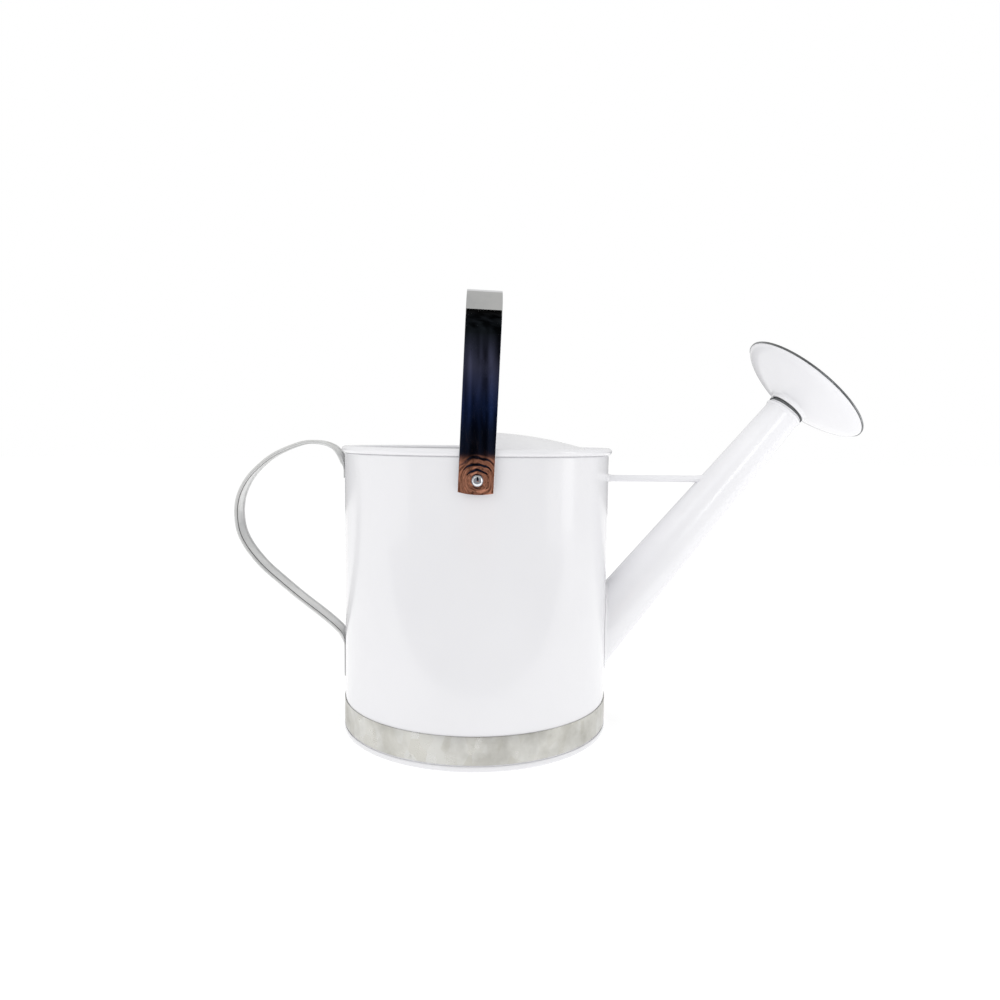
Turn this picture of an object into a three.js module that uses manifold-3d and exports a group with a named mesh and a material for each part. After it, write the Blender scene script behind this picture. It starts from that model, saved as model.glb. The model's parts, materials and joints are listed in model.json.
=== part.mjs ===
// A 5 litre sheet steel watering can: painted tank with a half hood, slanting spout with a pull-off
// rose, rod brace, rear strap handle and a swinging bail handle on two rivets.
// Millimetres. The origin is the middle of the base on the floor, +X towards the spout, +Z up.
// The can is symmetric about the XZ plane; "near" is the -Y side and "far" the +Y side.

import * as THREE from "three";
import { mergeVertices } from "three/addons/utils/BufferGeometryUtils.js";
import Module from "manifold-3d";

const wasm = await Module();
wasm.setup();

// Sheet and clearances
const SHEET = 0.5;
const GAP = 0.3;

// Tank
const TANK_R = 95;
const WALL_R = TANK_R - SHEET / 2;
const RIM_R = 94.8;
const RIM_Z = 200.8;
const CURL_R = 2.15;
const WIRE_R = 1.5;
const LEAN_START_Z = 197.4;
const SEAM_WIDTH = 7;

// Base pan and the bare metal band above it
const FOOT_CORNER_R = 1.2;
const FOOT_LOW_Z = FOOT_CORNER_R + SHEET / 2;
const FOOT_HIGH_Z = 2.6;
const BAND_BOTTOM = 4.6;
const BAND_TOP = 23.1;
const BAND_SHEET = 0.4;

// Half hood over the spout side of the mouth
const HOOD_TOP_Z = 213.75;
const HOOD_DROP = 13;
const HOOD_DROP_R = 84;
const HOOD_R = 91.6;
const HOOD_EDGE_X = 2;
const HEM_WIDTH = 4.5;
const HEM_SHEET = 1.4;

// Spout: a cone whose axis leaves the tank wall at SPOUT_ROOT
const SPOUT_ROOT = new THREE.Vector3(TANK_R, 0, 72.9);
const SPOUT_RISE = 50.5;
const SPOUT_ROOT_R = 19.75;
const SPOUT_TAPER = 0.0319;
const SPOUT_LENGTH = 206.4;
const SPOUT_BEAD_R = 13.9;
const SPOUT_INSIDE = -45;

// Brace rod between the tank and the spout
const BRACE_Z = 181.3;
const BRACE_R = 2.5;

// Rose
const NECK_S = 208.3;
const ROSE_RISE = 48.1;
const SLEEVE_R = 12.3;
const SLEEVE_START = 184;
const SLEEVE_END = 210.8;
const NECK_R = 14.4;
const BOWL_START = 2.9;
const BOWL_END = 19;
const BOWL_R = 49.65;
const BOWL_POWER = 1.6;
const BOWL_CUT = 0.965;
const FACE_T = 19;
const FACE_R = 49.2;
const FACE_CROWN = 4;
const HOLE_R = 1;
const HOLE_RING_STEP = 8.6;
const HOLE_RINGS = 5;

// Rear strap handle: a web between two rolled edges
const HANDLE_BEAD_R = 1.4;
const HANDLE_WEB = 0.8;
const HANDLE_PRESSED = 0.45;
const HANDLE_BACK = TANK_R + GAP + 0.05;
const HANDLE_END = -(HANDLE_BACK + HANDLE_PRESSED);
const HANDLE_STEPS = 54;
const HANDLE_RIVET_Z = [184, 46];
const HANDLE_RIVET_R = 1.7;
const HANDLE_RIVET_HEAD_R = 3.2;

// Bail handle
const PIVOT_X = -0.5;
const PIVOT_Z = 183.9;
const BAIL_LEAN = 2.2;
const BAIL_HOLE_X = 0.75;
const BAIL_WIDTH = 22;
const BAIL_SHEET = 1.5;
const BAIL_OUT_Y = 99.1;
const BAIL_END = 8.6;
const BAIL_END_SAG = 1.3;
const BAIL_CORNER_R = 28;
const BAIL_CORNER_Z = 274.2 - PIVOT_Z;
const BAIL_CROWN_ANGLE = 5;
const RIVET_R = 2.1;
const RIVET_HOLE_R = 2.5;
const RIVET_HEAD_R = 3.6;
const RIVET_HEAD_H = 2.6;

// Facets round a full turn
const ROUND = 48;
const SPOUT_ROUND = 24;
const ROSE_ROUND = 36;
const SMALL_ROUND = 12;

const paint = { color: 0xf1f3f6, roughness: 0.22, metalness: 0 };
const galvanised = { color: 0xc3c3bb, roughness: 0.42, metalness: 0.85 };
const handleMetal = { color: 0xb0b1ae, roughness: 0.38, metalness: 0.9 };
const mirror = { color: 0xd9dade, roughness: 0.05, metalness: 1 };
const bareSteel = { color: 0x85888a, roughness: 0.4, metalness: 0.9 };
const sealRubber = { color: 0x55585a, roughness: 0.7, metalness: 0 };

const can = new THREE.Group();
can.name = "watering_can";

const radians = (degrees) => THREE.MathUtils.degToRad(degrees);

// A welded solid for boolean work, from any closed geometry.
function solid(geometry) {
  const bare = geometry.clone();
  bare.deleteAttribute("normal");
  bare.deleteAttribute("uv");
  const welded = mergeVertices(bare, 1e-4);
  return new wasm.Manifold(
    new wasm.Mesh({
      numProp: 3,
      vertProperties: welded.attributes.position.array,
      triVerts: new Uint32Array(welded.index.array),
    }),
  );
}

function add(name, shape, finish) {
  let geometry = shape;
  if (!shape.isBufferGeometry) {
    const made = shape.getMesh();
    geometry = new THREE.BufferGeometry();
    geometry.setAttribute("position", new THREE.BufferAttribute(made.vertProperties, 3));
    geometry.setIndex(new THREE.BufferAttribute(made.triVerts, 1));
    geometry.computeVertexNormals();
  }
  const mesh = new THREE.Mesh(geometry, new THREE.MeshStandardMaterial(finish));
  mesh.name = name;
  can.add(mesh);
}

// Points of an arc in the radius-height plane, angles in degrees from the outward direction.
function arc(r, z, radius, from, to, steps) {
  const points = [];
  for (let i = 0; i <= steps; i += 1) {
    const a = radians(from + ((to - from) * i) / steps);
    points.push([r + radius * Math.cos(a), z + radius * Math.sin(a)]);
  }
  return points;
}

// The closed outline of a sheet of the given thickness about a middle line, with mitred corners.
function sheetOutline(line, thickness) {
  const right = [];
  const left = [];
  for (let i = 0; i < line.length; i += 1) {
    const here = new THREE.Vector2(...line[i]);
    const before = new THREE.Vector2(...line[Math.max(i - 1, 0)]);
    const after = new THREE.Vector2(...line[Math.min(i + 1, line.length - 1)]);
    const into = i > 0 ? here.clone().sub(before).normalize() : after.clone().sub(here).normalize();
    const out = i < line.length - 1 ? after.clone().sub(here).normalize() : into.clone();
    const mid = into.clone().add(out).normalize();
    const reach = thickness / 2 / mid.dot(into);
    right.push([here.x + mid.y * reach, here.y - mid.x * reach]);
    left.unshift([here.x - mid.y * reach, here.y + mid.x * reach]);
  }
  if (line[0][0] === 0) {
    right[0][0] = 0;
    left[left.length - 1][0] = 0;
  }
  return [...right, ...left];
}

// A profile of [radius, height] pairs, counter-clockwise, turned about the Z axis.
function turned(profile, segments) {
  const points = profile.map(([r, z]) => new THREE.Vector2(r, z));
  if (profile[0][0] !== 0) points.push(points[0].clone());
  return new THREE.LatheGeometry(points, segments).rotateX(Math.PI / 2);
}

function rod(radius, from, to, segments) {
  return turned([[0, from], [radius, from], [radius, to], [0, to]], segments);
}

function ring(inner, outer, from, to, segments) {
  return turned([[inner, from], [outer, from], [outer, to], [inner, to]], segments);
}

function block(x0, x1, y0, y1, z0, z1) {
  const box = new THREE.BoxGeometry(x1 - x0, y1 - y0, z1 - z0);
  return box.translate((x0 + x1) / 2, (y0 + y1) / 2, (z0 + z1) / 2);
}

// Moves a shape turned about Z onto the slanting spout axis.
function onSpout(geometry) {
  geometry.rotateY(radians(90 - SPOUT_RISE));
  return geometry.translate(SPOUT_ROOT.x, SPOUT_ROOT.y, SPOUT_ROOT.z);
}

const spoutAxis = new THREE.Vector3(Math.cos(radians(SPOUT_RISE)), 0, Math.sin(radians(SPOUT_RISE)));
const neckPoint = SPOUT_ROOT.clone().addScaledVector(spoutAxis, NECK_S);

// The rose bowl sits a little off the spout axis, tipped about its neck.
function onRose(geometry) {
  geometry.rotateY(radians(90 - ROSE_RISE));
  return geometry.translate(neckPoint.x, neckPoint.y, neckPoint.z);
}

const spoutRadius = (s) => SPOUT_ROOT_R - SPOUT_TAPER * s;

// Tank: rolled wall, outward foot flange, lip leaned in and curled out over the rim wire, a folded
// seam up the inside at the rear, the spout opening and the rivet holes.
function tankWall() {
  const line = [
    [WALL_R + 0.2, 1.05],
    [WALL_R, 1.05],
    [WALL_R, LEAN_START_Z],
    ...arc(RIM_R, RIM_Z, CURL_R, 205, -75, 7),
  ];
  let wall = solid(turned(sheetOutline(line, SHEET), ROUND));
  const half = SEAM_WIDTH / 2;
  wall = wall.add(solid(block(-TANK_R + 0.25, -TANK_R + 1.4, -half, half, 3, 190)));
  const bore = [
    [0, SPOUT_INSIDE],
    [spoutRadius(SPOUT_INSIDE) - SHEET, SPOUT_INSIDE],
    [spoutRadius(60) - SHEET, 60],
    [0, 60],
  ];
  wall = wall.subtract(solid(onSpout(turned(bore, SPOUT_ROUND))));
  const pivotHole = rod(RIVET_HOLE_R, -120, 120, SMALL_ROUND).rotateX(Math.PI / 2);
  wall = wall.subtract(solid(pivotHole.translate(PIVOT_X, 0, PIVOT_Z)));
  for (const z of HANDLE_RIVET_Z) {
    const hole = rod(HANDLE_RIVET_R + GAP, 80, 110, SMALL_ROUND).rotateY(-Math.PI / 2);
    wall = wall.subtract(solid(hole.translate(0, 0, z)));
  }
  return wall;
}

add("body_shell", tankWall(), paint);
add("rim_wire", turned(arc(RIM_R, RIM_Z, WIRE_R, 0, 300, 5), ROUND), bareSteel);

const panLine = [
  [0, SHEET / 2],
  [62, SHEET / 2],
  [64, SHEET / 2 + 1.2],
  [74, SHEET / 2 + 1.2],
  [76, SHEET / 2],
  ...arc(TANK_R - 0.45, FOOT_LOW_Z, FOOT_CORNER_R, -90, 0, 3),
  ...arc(TANK_R - 0.45, FOOT_HIGH_Z, FOOT_CORNER_R, 0, 50, 2),
];
add("base_pan", turned(sheetOutline(panLine, SHEET), ROUND), paint);
add(
  "base_band",
  ring(TANK_R + GAP, TANK_R + GAP + BAND_SHEET, BAND_BOTTOM, BAND_TOP, ROUND),
  galvanised,
);

// Hood: half of a shallow dome, its round edge turned down inside the lip, its straight edge hemmed.
function hood() {
  const line = [];
  for (let i = 0; i <= 6; i += 1) {
    const r = (HOOD_R * i) / 6;
    line.push([r, HOOD_TOP_Z - HOOD_DROP * (r / HOOD_DROP_R) ** 2]);
  }
  const hem = line.slice(0, -1);
  const skirt = [[93.2, 196.2], [93.8, 194], [93.8, 190.5]];
  const cap = solid(turned(sheetOutline([...line, ...skirt], SHEET), ROUND));
  const thick = solid(turned(sheetOutline(hem, HEM_SHEET), ROUND));
  const front = solid(block(HOOD_EDGE_X, 120, -120, 120, 150, 240));
  const strip = solid(block(HOOD_EDGE_X, HOOD_EDGE_X + HEM_WIDTH, -120, 120, 150, 240));
  return cap.intersect(front).add(thick.intersect(strip));
}

add("hood", hood(), paint);

// Spout: a tapering tube trimmed to the tank, with a swaged bead at its mouth.
function spout() {
  const line = [
    [spoutRadius(SPOUT_INSIDE) - SHEET / 2, SPOUT_INSIDE],
    [spoutRadius(202) - SHEET / 2, 202],
    [SPOUT_BEAD_R, 203.4],
    [SPOUT_BEAD_R, 205.2],
    [SPOUT_BEAD_R - 0.8, SPOUT_LENGTH],
  ];
  const tube = solid(onSpout(turned(sheetOutline(line, SHEET), SPOUT_ROUND)));
  return tube.subtract(solid(rod(TANK_R + GAP, -50, 300, ROUND)));
}

add("spout_tube", spout(), paint);

// Brace: a level rod with a soldered flare at each end.
function brace() {
  const bar = [
    [0, 90],
    [4.2, 90],
    [4.2, 95.8],
    [BRACE_R + 0.3, 97.5],
    [BRACE_R, 100],
    [BRACE_R, 160],
    [BRACE_R + 0.3, 163],
    [3.6, 168],
    [3.6, 185],
    [0, 185],
  ];
  const level = solid(
    turned(bar, SMALL_ROUND)
      .rotateY(Math.PI / 2)
      .translate(0, 0, BRACE_Z),
  );
  const cone = [
    [0, 0],
    [spoutRadius(0) + GAP, 0],
    [spoutRadius(200) + GAP, 200],
    [0, 200],
  ];
  return level
    .subtract(solid(rod(TANK_R + GAP, 100, 300, ROUND)))
    .subtract(solid(onSpout(turned(cone, SPOUT_ROUND))));
}

add("spout_brace", brace(), paint);

// Rear handle: a web between two rolled edges, swept up the wall, round the loop and down again.
// The strap narrows over the crown, and both ends are pressed flat and bent round the wall.
function rearHandle() {
  const section = [];
  const reach = Math.asin(HANDLE_WEB / 2 / HANDLE_BEAD_R);
  for (const side of [1, -1]) {
    for (let i = 0; i <= 5; i += 1) {
      const a = side * (reach - Math.PI + (2 * (Math.PI - reach) * i) / 5);
      section.push({ side, across: side * HANDLE_BEAD_R * Math.cos(a), out: HANDLE_BEAD_R * Math.sin(a) });
    }
  }
  // Middle line as [x, z, half width between the rolled edges].
  const middle = [
    [HANDLE_END, 180, 6.5],
    [HANDLE_END, 186, 7.5],
    [-96.5, 190.2, 8.2],
    [-99.3, 197, 8.5],
    [-103.5, 201.8, 7.2],
    [-110.2, 204.6, 5.8],
    [-117.3, 205.4, 5.2],
    [-123.7, 205.1, 5],
    [-132.1, 202.6, 5],
    [-140.6, 199, 5.2],
    [-147, 195.5, 5.6],
    [-153.8, 190.3, 6.3],
    [-161.9, 182.3, 7.3],
    [-167.2, 174.4, 8.2],
    [-171, 164.9, 8.75],
    [-172.4, 153.5, 8.75],
    [-170.8, 141, 8.75],
    [-166.1, 130.6, 8.75],
    [-155.2, 116.5, 8.75],
    [-141.2, 103.6, 8.75],
    [-127, 91.5, 8.75],
    [-112.7, 80.2, 8.75],
    [-101.8, 70.7, 8.75],
    [-97.3, 65, 8.75],
    [HANDLE_END, 58, 8.5],
    [HANDLE_END, 35, 7.5],
  ];
  const path = new THREE.CatmullRomCurve3(
    middle.map(([x, z, half]) => new THREE.Vector3(x, half, z)),
    false,
    "centripetal",
  );
  const positions = [];
  for (let i = 0; i <= HANDLE_STEPS; i += 1) {
    const here = path.getPointAt(i / HANDLE_STEPS);
    here.x = Math.min(here.x, HANDLE_END);
    const along = path.getTangentAt(i / HANDLE_STEPS).setY(0).normalize();
    const room = Math.min(HANDLE_BEAD_R, Math.max(HANDLE_PRESSED, -here.x - HANDLE_BACK));
    const pressed = (HANDLE_BEAD_R - room) / (HANDLE_BEAD_R - HANDLE_PRESSED);
    for (const { side, across, out } of section) {
      const y = side * here.y + across;
      const flat = Math.min(Math.abs(out), HANDLE_WEB / 2);
      const reachOut = Math.sign(out) * Math.max(flat, (Math.abs(out) * room) / HANDLE_BEAD_R);
      const bend = pressed * (TANK_R - Math.sqrt(TANK_R ** 2 - y ** 2));
      positions.push(here.x - along.z * reachOut + bend, y, here.z + along.x * reachOut);
    }
  }
  const count = section.length;
  const index = [];
  for (let i = 0; i < HANDLE_STEPS; i += 1) {
    for (let j = 0; j < count; j += 1) {
      const a = i * count + j;
      const b = i * count + ((j + 1) % count);
      index.push(a, b, b + count, a, b + count, a + count);
    }
  }
  const outline = section.map(({ side, across, out }) => new THREE.Vector2(side * 8 + across, out));
  const last = HANDLE_STEPS * count;
  for (const [a, b, c] of THREE.ShapeUtils.triangulateShape(outline, [])) {
    index.push(c, b, a, a + last, b + last, c + last);
  }
  const sweep = new THREE.BufferGeometry();
  sweep.setAttribute("position", new THREE.Float32BufferAttribute(positions, 3));
  sweep.setIndex(index);
  let strap = solid(sweep);
  for (const z of HANDLE_RIVET_Z) {
    const hole = rod(HANDLE_RIVET_R + GAP, 80, 110, SMALL_ROUND).rotateY(-Math.PI / 2);
    strap = strap.subtract(solid(hole.translate(0, 0, z)));
  }
  return strap;
}

add("rear_handle", rearHandle(), handleMetal);

// A rivet along Z: domed head outside at `face`, shank, and a flatter closed head inside at `back`.
function rivet(shank, head, height, face, back) {
  const dome = [];
  for (let i = 0; i <= 4; i += 1) {
    const a = (Math.PI / 2) * (i / 4);
    dome.push([head * Math.cos(a), face + height * Math.sin(a)]);
  }
  dome[4][0] = 0;
  const profile = [
    [0, back - height / 2],
    [head * 0.7, back - height / 2],
    [head, back],
    [shank, back],
    [shank, face],
    ...dome,
  ];
  return turned(profile, SMALL_ROUND);
}

const webOut = -HANDLE_END + HANDLE_WEB / 2 + GAP;
["upper", "lower"].forEach((place, i) => {
  const pin = rivet(HANDLE_RIVET_R, HANDLE_RIVET_HEAD_R, 0.7, webOut, TANK_R - 1.4 - GAP);
  pin.rotateY(-Math.PI / 2).translate(0, 0, HANDLE_RIVET_Z[i]);
  add(`handle_rivet_${place}`, pin, handleMetal);
});

// Bail: a flat strap bent into a square arch, leaning a little towards the spout.
function bail() {
  const crownHalf = BAIL_OUT_Y - BAIL_CORNER_R + BAIL_CORNER_R * Math.sin(radians(BAIL_CROWN_ANGLE));
  const crownR = crownHalf / Math.sin(radians(BAIL_CROWN_ANGLE));
  const cornerTop = BAIL_CORNER_Z + BAIL_CORNER_R * Math.cos(radians(BAIL_CROWN_ANGLE));
  const crownZ = cornerTop - crownR * Math.cos(radians(BAIL_CROWN_ANGLE));
  const side = (inset) => [
    [BAIL_OUT_Y - inset, -20],
    ...arc(BAIL_OUT_Y - BAIL_CORNER_R, BAIL_CORNER_Z, BAIL_CORNER_R - inset, 0, 85, 7),
    ...arc(0, crownZ, crownR - inset, 85, 95, 5).slice(1, -1),
    ...arc(BAIL_CORNER_R - BAIL_OUT_Y, BAIL_CORNER_Z, BAIL_CORNER_R - inset, 95, 180, 7),
    [inset - BAIL_OUT_Y, -20],
  ];
  const arch = new THREE.Shape(
    [...side(0), ...side(BAIL_SHEET).reverse()].map(([y, z]) => new THREE.Vector2(y, z)),
  );
  // The arch is drawn in the YZ plane and its width runs along X.
  const strap = new THREE.ExtrudeGeometry(arch, { depth: BAIL_WIDTH, bevelEnabled: false });
  strap.translate(0, 0, -BAIL_HOLE_X - BAIL_WIDTH / 2);
  strap.applyMatrix4(new THREE.Matrix4().set(0, 0, 1, 0, 1, 0, 0, 0, 0, 1, 0, 0, 0, 0, 0, 1));
  const blank = new THREE.Shape();
  const half = BAIL_WIDTH / 2;
  blank.moveTo(half, 150);
  blank.lineTo(-half, 150);
  blank.lineTo(-half, BAIL_END_SAG - BAIL_END);
  blank.quadraticCurveTo(0, -BAIL_END - BAIL_END_SAG, half, BAIL_END_SAG - BAIL_END);
  const outline = new THREE.ExtrudeGeometry(blank, {
    depth: 240,
    bevelEnabled: false,
    curveSegments: 8,
  });
  outline.rotateX(Math.PI / 2).translate(-BAIL_HOLE_X, 120, 0);
  const hole = rod(RIVET_HOLE_R, -120, 120, SMALL_ROUND).rotateX(Math.PI / 2);
  const made = solid(strap).intersect(solid(outline)).subtract(solid(hole));
  return made.rotate([0, BAIL_LEAN, 0]).translate([PIVOT_X, 0, PIVOT_Z]);
}

add("bail_strap", bail(), mirror);

// Pivot rivets with a spacer washer outside the wall and a burr washer inside it.
const strapIn = BAIL_OUT_Y - BAIL_SHEET;
for (const [side, turn] of [["near", Math.PI / 2], ["far", -Math.PI / 2]]) {
  const place = (geometry) => geometry.rotateX(turn).translate(PIVOT_X, 0, PIVOT_Z);
  const burrBack = TANK_R - SHEET - 0.5 - 1.2;
  add(
    `bail_rivet_${side}`,
    place(rivet(RIVET_R, RIVET_HEAD_R, RIVET_HEAD_H, BAIL_OUT_Y + GAP, burrBack - GAP)),
    mirror,
  );
  add(
    `bail_spacer_${side}`,
    place(ring(RIVET_HOLE_R, 6, TANK_R + GAP, strapIn - GAP, SMALL_ROUND)),
    bareSteel,
  );
  add(
    `bail_burr_${side}`,
    place(ring(RIVET_HOLE_R, 5.5, burrBack, burrBack + 1.2, SMALL_ROUND)),
    bareSteel,
  );
}

// Rose: a bare sleeve plugs into the spout through a seal ring, and carries the bowl, the
// perforated face and the crimped rim ring.
add("rose_seal", onSpout(ring(SLEEVE_R + GAP, 13.9, 206.7, 207.4, SPOUT_ROUND)), sealRubber);
add(
  "rose_sleeve",
  onSpout(ring(SLEEVE_R - SHEET, SLEEVE_R, SLEEVE_START, SLEEVE_END, SPOUT_ROUND)),
  bareSteel,
);

const bowlLine = [[SLEEVE_R + 0.6, SHEET / 2], [NECK_R, SHEET / 2], [NECK_R, 2.3]];
for (let i = 0; i <= 7; i += 1) {
  const t = (BOWL_CUT * i) / 7;
  const flare = 1 - (1 - t) ** BOWL_POWER;
  bowlLine.push([15 + (BOWL_R - 15) * flare, BOWL_START + (BOWL_END - BOWL_START) * t]);
}
add("rose_body", onRose(turned(sheetOutline(bowlLine, SHEET), ROSE_ROUND)), paint);

// Face: crowned disc with rings of holes, six more in each ring than in the one inside it.
function roseFace() {
  const line = [];
  for (let i = 0; i <= 4; i += 1) {
    const r = (47 * i) / 4;
    line.push([r, FACE_T + FACE_CROWN * (1 - (i / 4) ** 2)]);
  }
  line.push([FACE_R, FACE_T]);
  let face = solid(turned(sheetOutline(line, SHEET), ROSE_ROUND));
  for (let count = 0; count < HOLE_RINGS; count += 1) {
    const holes = Math.max(count * 6, 1);
    for (let i = 0; i < holes; i += 1) {
      const a = (2 * Math.PI * (i + count / 2)) / holes;
      const r = count * HOLE_RING_STEP;
      const hole = rod(HOLE_R, FACE_T - 2, FACE_T + FACE_CROWN + 3, 5);
      face = face.subtract(solid(hole.translate(r * Math.cos(a), r * Math.sin(a), 0)));
    }
  }
  return face.rotate([0, 90 - ROSE_RISE, 0]).translate([neckPoint.x, 0, neckPoint.z]);
}

add("rose_face", roseFace(), bareSteel);

const crimp = [[50.1, 18.5], [50.1, 19.4], [48.9, 19.75]];
add("rose_rim", onRose(turned(sheetOutline(crimp, 0.4), ROSE_ROUND)), bareSteel);

export default can;
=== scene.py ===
"""Looks for the watering can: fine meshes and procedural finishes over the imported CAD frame."""

import json
import math

import bpy
from mathutils import Matrix, Vector


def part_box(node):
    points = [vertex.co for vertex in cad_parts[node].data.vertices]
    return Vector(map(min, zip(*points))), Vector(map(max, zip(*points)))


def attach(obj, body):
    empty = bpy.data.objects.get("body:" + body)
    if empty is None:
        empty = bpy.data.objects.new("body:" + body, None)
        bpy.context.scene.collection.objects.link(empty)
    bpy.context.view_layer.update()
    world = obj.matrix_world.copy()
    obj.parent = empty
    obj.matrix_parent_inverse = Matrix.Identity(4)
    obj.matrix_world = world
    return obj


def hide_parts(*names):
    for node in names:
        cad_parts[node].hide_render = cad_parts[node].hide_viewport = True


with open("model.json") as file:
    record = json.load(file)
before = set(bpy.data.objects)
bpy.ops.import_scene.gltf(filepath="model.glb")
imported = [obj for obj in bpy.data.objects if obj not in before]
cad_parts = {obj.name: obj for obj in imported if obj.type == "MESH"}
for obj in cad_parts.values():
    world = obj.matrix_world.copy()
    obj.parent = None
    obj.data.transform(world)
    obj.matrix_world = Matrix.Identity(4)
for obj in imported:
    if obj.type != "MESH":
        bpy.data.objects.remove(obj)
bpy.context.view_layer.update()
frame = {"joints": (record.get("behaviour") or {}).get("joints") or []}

# Lengths are millimetres until a mesh is made.
MM = 0.001

# Steps round the tank, the spout and the rose
ROUND = 192
SPOUT_ROUND = 96
ROSE_ROUND = 144
joints = {j["name"]: j for j in frame["joints"]}


def box_mm(node):
    low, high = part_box(node)
    return low / MM, high / MM


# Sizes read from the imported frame
TANK_R = box_mm("base_band")[1].x - 0.7
BAND_LOW = box_mm("base_band")[0].z
BAND_HIGH = box_mm("base_band")[1].z
RIM_TOP = box_mm("body_shell")[1].z
PIVOT = Vector(joints["bail_swing"]["pos_m"]) / MM
BAIL_OUT = box_mm("bail_strap")[1].y
SPOUT_AXIS = Vector(joints["rose_pull"]["axis"]).normalized()
SPOUT_ROOT = Vector(joints["rose_twist"]["pos_m"]) / MM

# Sheet, lip and foot
SHEET = 0.5
WALL_FOOT = 1.05
WIRE_R = 1.5
CURL_R = 2.15
RIM_R = TANK_R - 0.2
RIM_Z = RIM_TOP - CURL_R - SHEET / 2
LEAN_START = RIM_Z - 3.4
FOOT_CORNER = 1.2
FOOT_LOW = FOOT_CORNER + SHEET / 2
FOOT_HIGH = 2.6

# Hood
HOOD_TOP = 213.75
HOOD_DROP = 13
HOOD_DROP_R = 84
HOOD_R = 91.6
HOOD_EDGE = 2.25
HEM = 4.2
HEM_FOLD = 0.42

# Spout
SPOUT_ROOT_R = 19.75
SPOUT_TAPER = 0.0319
SPOUT_END = 206.4
BEAD_START = 201.7
MOUTH_BEAD_R = 1.05

# Brace
BRACE_R = 2.5
BRACE_Z = (box_mm("spout_brace")[0].z + box_mm("spout_brace")[1].z) / 2

# Rose
NECK_S = 208.3
SEAL = (206.7, 207.4)
SLEEVE = (184, 210.8)
ROSE_RISE = math.radians(48.1)
SLEEVE_R = 12.3
NECK_R = 14.4
BOWL_START = 2.9
BOWL_END = 19
BOWL_R = 49.65
BOWL_POWER = 1.6
BOWL_CUT = 0.965
FACE_T = 19
FACE_R = 49.2
FACE_CROWN = 4
FACE_EDGE = 47
HOLE_STEP = 8.6
HOLE_RINGS = 5

# Rear handle
BEAD_R = 1.4
WEB = 0.8
PRESSED = 0.45
HANDLE_BACK = TANK_R + 0.35
HANDLE_END = -(HANDLE_BACK + PRESSED)
HANDLE_RIVETS = {"upper": 184, "lower": 46}
HANDLE_HOLE_R = 2

# Bail
BAIL_LEAN = math.radians(2.2)
BAIL_HOLE_X = 0.75
BAIL_SHEET = 1.5
BAIL_WIDTH = 22
BAIL_END = 8.6
BAIL_SAG = 1.3
BAIL_CORNER_R = 28
BAIL_CORNER_Z = 90.15
BAIL_CROWN = math.radians(5)
PIVOT_HOLE_R = 2.5


# ---------------------------------------------------------------- shapes


def arc(r, z, radius, start, stop, steps):
    """Points of an arc in the radius-height plane, angles in degrees from outward."""
    turn = [math.radians(start + (stop - start) * i / steps) for i in range(steps + 1)]
    return [(r + radius * math.cos(a), z + radius * math.sin(a)) for a in turn]


def sheet_outline(line, thickness):
    """The closed outline of a sheet about its middle line, with mitred corners."""
    right, left = [], []
    last = len(line) - 1
    for i, point in enumerate(line):
        here = Vector(point)
        into = (here - Vector(line[i - 1])).normalized() if i else None
        out = (Vector(line[i + 1]) - here).normalized() if i < last else into
        into = into or out
        mid = (into + out).normalized()
        reach = thickness / 2 / mid.dot(into)
        side = Vector((mid.y, -mid.x)) * reach
        right.append(here + side)
        left.insert(0, here - side)
    if line[0][0] == 0:
        right[0].x = 0
        left[-1].x = 0
    return [tuple(p) for p in right + left]


def lathe(profile, turns):
    """A counter-clockwise (radius, height) profile turned about Z, as vertices and faces."""
    verts, rows = [], []
    for r, z in profile:
        if r < 1e-6:
            rows.append([len(verts)] * turns)
            verts.append((0, 0, z))
            continue
        rows.append(list(range(len(verts), len(verts) + turns)))
        for j in range(turns):
            a = 2 * math.pi * j / turns
            verts.append((r * math.cos(a), r * math.sin(a), z))
    if profile[0][0] > 1e-6:
        rows.append(rows[0])
    faces = []
    for low, high in zip(rows, rows[1:]):
        for j in range(turns):
            k = (j + 1) % turns
            ring = [low[j], low[k], high[k], high[j]]
            faces.append([v for n, v in enumerate(ring) if v not in ring[:n]])
    return verts, [f for f in faces if len(f) > 2]


def rod(radius, low, high, turns=48):
    return lathe([(0, low), (radius, low), (radius, high), (0, high)], turns)


def rounded_ring(inner, outer, low, high, edge, turns):
    """A washer or ring whose four edges are rounded."""
    profile = (
        arc(outer - edge, low + edge, edge, -90, 0, 4)
        + arc(outer - edge, high - edge, edge, 0, 90, 4)
        + arc(inner + edge, high - edge, edge, 90, 180, 4)
        + arc(inner + edge, low + edge, edge, 180, 270, 4)
    )
    return lathe(profile, turns)


def sweep(section, rings):
    """A closed section carried through rings of points, capped at both ends."""
    count = len(section)
    verts = [p for ring in rings for p in ring]
    faces = []
    for i in range(len(rings) - 1):
        for j in range(count):
            k = (j + 1) % count
            a, b = i * count, (i + 1) * count
            faces.append([a + j, a + k, b + k, b + j])
    faces.append(list(range(count))[::-1])
    faces.append(list(range((len(rings) - 1) * count, len(rings) * count)))
    return verts, faces


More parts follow.
